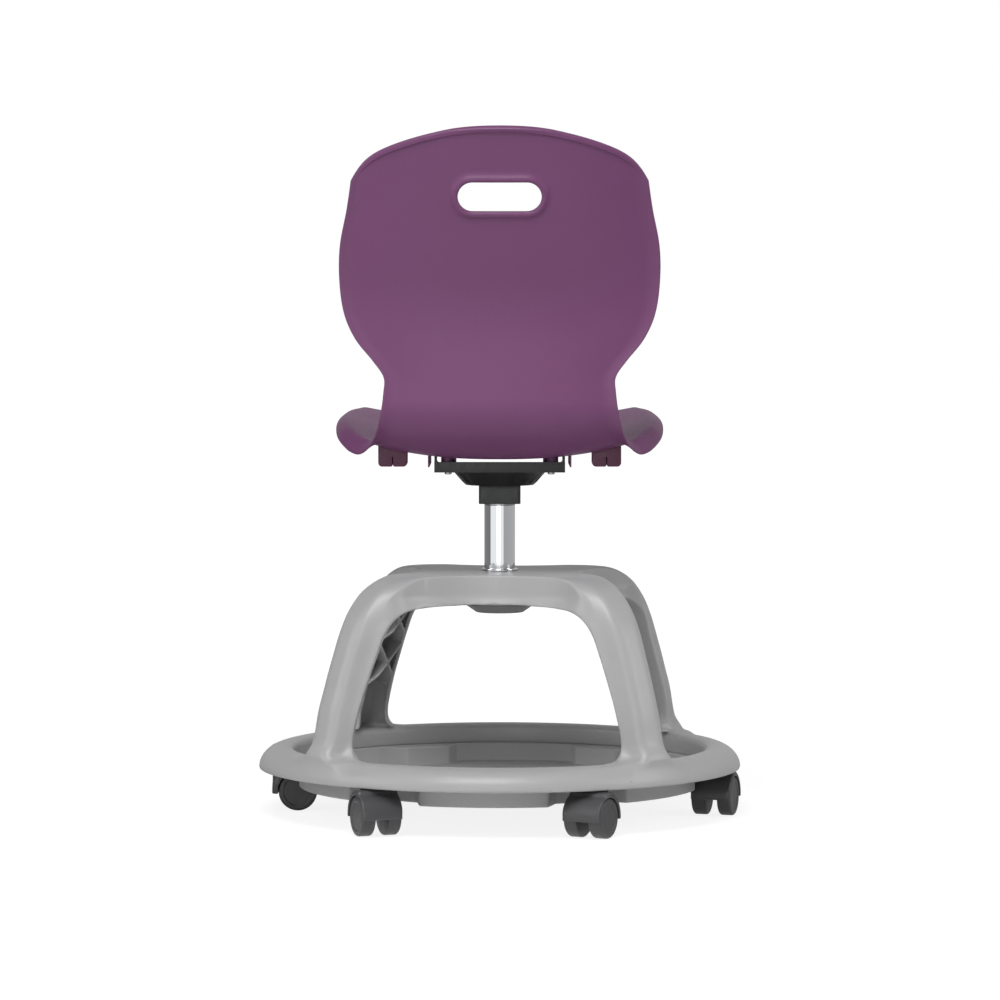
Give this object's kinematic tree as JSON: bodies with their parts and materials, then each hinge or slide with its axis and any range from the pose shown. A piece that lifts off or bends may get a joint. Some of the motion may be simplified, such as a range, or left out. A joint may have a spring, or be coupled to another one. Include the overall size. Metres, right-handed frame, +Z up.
{
  "type": "swivel chair",
  "caption": "Swivel chair: one-piece plastic seat and back shell with a handle slot, on a fixed chromed column, four-legged ring base with a storage tray and twin-wheel casters.",
  "frame": {"origin": "on the floor, on the axis of the column", "axes": "+Z up along the column, -Y towards the front edge of the seat, +X to the side"},
  "size_m": [0.6263, 0.6266, 0.8811],
  "materials": {
    "shell_plastic": "satin, fine moulded grain",
    "base_plastic": "fine moulded grain",
    "tray_plastic": "fine moulded grain",
    "chrome": "bright chrome",
    "steel": "bright zinc",
    "black_metal": "black powder coat",
    "black_plastic": "matte",
    "caster_plastic": "matte",
    "wheel_plastic": "semi-matte",
    "brass": "plain"
  },
  "bodies": {
    "base": {"base_frame": "base_plastic", "tray_floor": "tray_plastic", "tray_walls": "tray_plastic", "tray_pockets": "tray_plastic", "tray_rim": "tray_plastic", "tray_screws": "steel", "column_tube": "chrome", "column_collar": "chrome", "column_nut": "steel", "hub_cap": "black_plastic", "upper_bush": "black_plastic", "lower_bush": "black_plastic", "thrust_washer": "steel", "caster_sockets": "black_plastic"},
    "seat": {"spindle": "steel", "spindle_washer": "steel", "spindle_circlip": "steel", "spindle_nut": "steel", "socket_block": "black_metal", "carrier_dish": "black_metal", "dish_screws": "steel", "seat_plate": "black_metal", "seat_inserts": "brass", "seat_screws": "steel", "seat_shell": "shell_plastic"},
    "caster_1": {"caster_1_hood": "caster_plastic", "caster_1_stem": "steel", "caster_1_axle": "steel"},
    "caster_1_wheel_a": {"caster_1_wheel_a": "wheel_plastic"},
    "caster_1_wheel_b": {"caster_1_wheel_b": "wheel_plastic"},
    "caster_2": {"caster_2_hood": "caster_plastic", "caster_2_stem": "steel", "caster_2_axle": "steel"},
    "caster_2_wheel_a": {"caster_2_wheel_a": "wheel_plastic"},
    "caster_2_wheel_b": {"caster_2_wheel_b": "wheel_plastic"},
    "caster_3": {"caster_3_hood": "caster_plastic", "caster_3_stem": "steel", "caster_3_axle": "steel"},
    "caster_3_wheel_a": {"caster_3_wheel_a": "wheel_plastic"},
    "caster_3_wheel_b": {"caster_3_wheel_b": "wheel_plastic"},
    "caster_4": {"caster_4_hood": "caster_plastic", "caster_4_stem": "steel", "caster_4_axle": "steel"},
    "caster_4_wheel_a": {"caster_4_wheel_a": "wheel_plastic"},
    "caster_4_wheel_b": {"caster_4_wheel_b": "wheel_plastic"},
    "caster_5": {"caster_5_hood": "caster_plastic", "caster_5_stem": "steel", "caster_5_axle": "steel"},
    "caster_5_wheel_a": {"caster_5_wheel_a": "wheel_plastic"},
    "caster_5_wheel_b": {"caster_5_wheel_b": "wheel_plastic"},
    "caster_6": {"caster_6_hood": "caster_plastic", "caster_6_stem": "steel", "caster_6_axle": "steel"},
    "caster_6_wheel_a": {"caster_6_wheel_a": "wheel_plastic"},
    "caster_6_wheel_b": {"caster_6_wheel_b": "wheel_plastic"}
  },
  "joints": [
    {"name": "seat_swivel", "type": "hinge", "parent": "base", "child": "seat", "pos_m": [0, 0, 0.401], "axis": [0, 0, 1], "continuous": true},
    {"name": "caster_1_swivel", "type": "hinge", "parent": "base", "child": "caster_1", "pos_m": [0.16199, 0.2357, 0.059], "axis": [0, 0, 1], "continuous": true},
    {"name": "caster_1_roll_a", "type": "hinge", "parent": "caster_1", "child": "caster_1_wheel_a", "pos_m": [0.15386, 0.25614, 0.025], "axis": [-0.9291, -0.3697, 0], "continuous": true},
    {"name": "caster_1_roll_b", "type": "hinge", "parent": "caster_1", "child": "caster_1_wheel_b", "pos_m": [0.15386, 0.25614, 0.025], "axis": [-0.9291, -0.3697, 0], "continuous": true},
    {"name": "caster_2_swivel", "type": "hinge", "parent": "base", "child": "caster_2", "pos_m": [0.28512, -0.02244, 0.059], "axis": [0, 0, 1], "continuous": true},
    {"name": "caster_2_roll_a", "type": "hinge", "parent": "caster_2", "child": "caster_2_wheel_a", "pos_m": [0.26312, -0.02244, 0.025], "axis": [0, -1, 0], "continuous": true},
    {"name": "caster_2_roll_b", "type": "hinge", "parent": "caster_2", "child": "caster_2_wheel_b", "pos_m": [0.26312, -0.02244, 0.025], "axis": [0, -1, 0], "continuous": true},
    {"name": "caster_3_swivel", "type": "hinge", "parent": "base", "child": "caster_3", "pos_m": [0.12313, -0.25814, 0.059], "axis": [0, 0, 1], "continuous": true},
    {"name": "caster_3_roll_a", "type": "hinge", "parent": "caster_3", "child": "caster_3_wheel_a", "pos_m": [0.10407, -0.24714, 0.025], "axis": [-0.5, -0.866, 0], "continuous": true},
    {"name": "caster_3_roll_b", "type": "hinge", "parent": "caster_3", "child": "caster_3_wheel_b", "pos_m": [0.10407, -0.24714, 0.025], "axis": [-0.5, -0.866, 0], "continuous": true},
    {"name": "caster_4_swivel", "type": "hinge", "parent": "base", "child": "caster_4", "pos_m": [-0.16199, -0.2357, 0.059], "axis": [0, 0, 1], "continuous": true},
    {"name": "caster_4_roll_a", "type": "hinge", "parent": "caster_4", "child": "caster_4_wheel_a", "pos_m": [-0.14514, -0.22156, 0.025], "axis": [-0.6428, 0.766, 0], "continuous": true},
    {"name": "caster_4_roll_b", "type": "hinge", "parent": "caster_4", "child": "caster_4_wheel_b", "pos_m": [-0.14514, -0.22156, 0.025], "axis": [-0.6428, 0.766, 0], "continuous": true},
    {"name": "caster_5_swivel", "type": "hinge", "parent": "base", "child": "caster_5", "pos_m": [-0.28512, 0.02244, 0.059], "axis": [0, 0, 1], "continuous": true},
    {"name": "caster_5_roll_a", "type": "hinge", "parent": "caster_5", "child": "caster_5_wheel_a", "pos_m": [-0.2785, 0.04342, 0.025], "axis": [-0.9537, 0.3007, 0], "continuous": true},
    {"name": "caster_5_roll_b", "type": "hinge", "parent": "caster_5", "child": "caster_5_wheel_b", "pos_m": [-0.2785, 0.04342, 0.025], "axis": [-0.9537, 0.3007, 0], "continuous": true},
    {"name": "caster_6_swivel", "type": "hinge", "parent": "base", "child": "caster_6", "pos_m": [-0.12313, 0.25814, 0.059], "axis": [0, 0, 1], "continuous": true},
    {"name": "caster_6_roll_a", "type": "hinge", "parent": "caster_6", "child": "caster_6_wheel_a", "pos_m": [-0.1126, 0.27746, 0.025], "axis": [-0.878, 0.4787, 0], "continuous": true},
    {"name": "caster_6_roll_b", "type": "hinge", "parent": "caster_6", "child": "caster_6_wheel_b", "pos_m": [-0.1126, 0.27746, 0.025], "axis": [-0.878, 0.4787, 0], "continuous": true}
  ]
}
